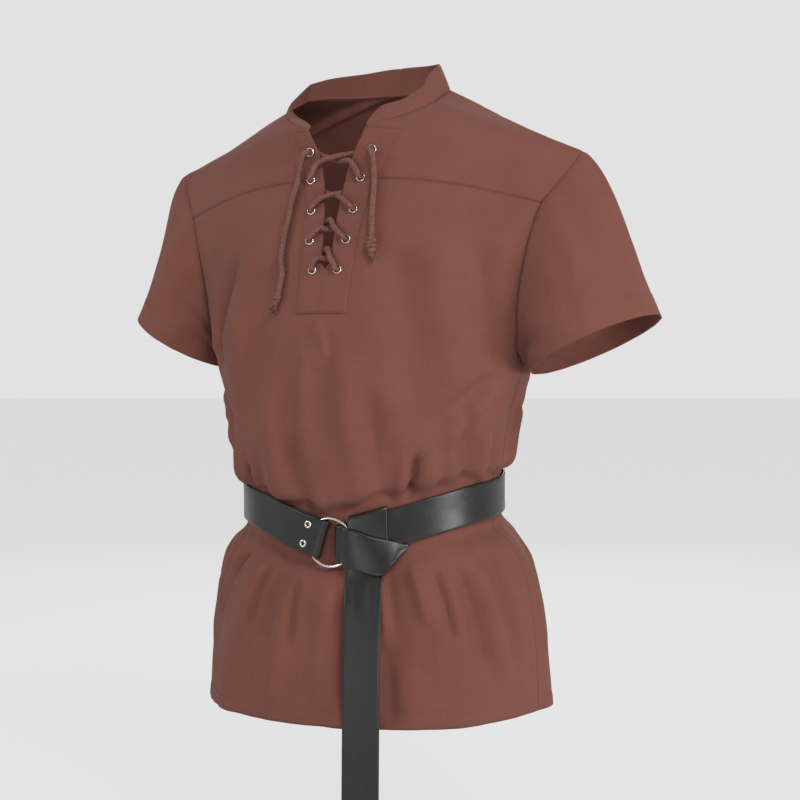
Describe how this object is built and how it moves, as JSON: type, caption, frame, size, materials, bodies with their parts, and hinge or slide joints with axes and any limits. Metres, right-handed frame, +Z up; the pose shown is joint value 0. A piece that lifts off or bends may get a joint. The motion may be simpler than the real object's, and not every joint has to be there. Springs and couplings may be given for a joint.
{
  "type": "medieval tunic",
  "caption": "Worn short-sleeved tunic with stand collar, laced front slit, shoulder yoke and leather ring belt with a hanging end",
  "frame": {"origin": "centre of the neck, level with the top of the shoulders, where the wearer holds the tunic", "axes": "+Z up, -Y the way the wearer faces, +X the wearer's left"},
  "size_m": [0.6451, 0.3106, 0.8986],
  "materials": {
    "tunic_cloth": "matt reddish-brown plain weave",
    "lace_cord": "matt twisted cotton cord",
    "belt_leather": "satin black leather",
    "metal": "plain nickelled steel"
  },
  "bodies": {
    "root": {"front": "tunic_cloth", "back": "tunic_cloth", "yoke": "tunic_cloth", "sleeve_left": "tunic_cloth", "sleeve_right": "tunic_cloth", "collar": "tunic_cloth", "placket": "tunic_cloth", "eyelet_left_1": "metal", "eyelet_left_2": "metal", "eyelet_left_3": "metal", "eyelet_left_4": "metal", "eyelet_left_5": "metal", "eyelet_right_1": "metal", "eyelet_right_2": "metal", "eyelet_right_3": "metal", "eyelet_right_4": "metal", "eyelet_right_5": "metal", "lace": "lace_cord", "lace_end_right": "lace_cord", "lace_knot_right": "lace_cord", "lace_end_left": "lace_cord", "lace_knot_left": "lace_cord", "belt": "belt_leather", "belt_loop": "belt_leather", "belt_tail": "belt_leather", "ring": "metal", "rivet_top": "metal", "rivet_low": "metal"}
  },
  "joints": []
}
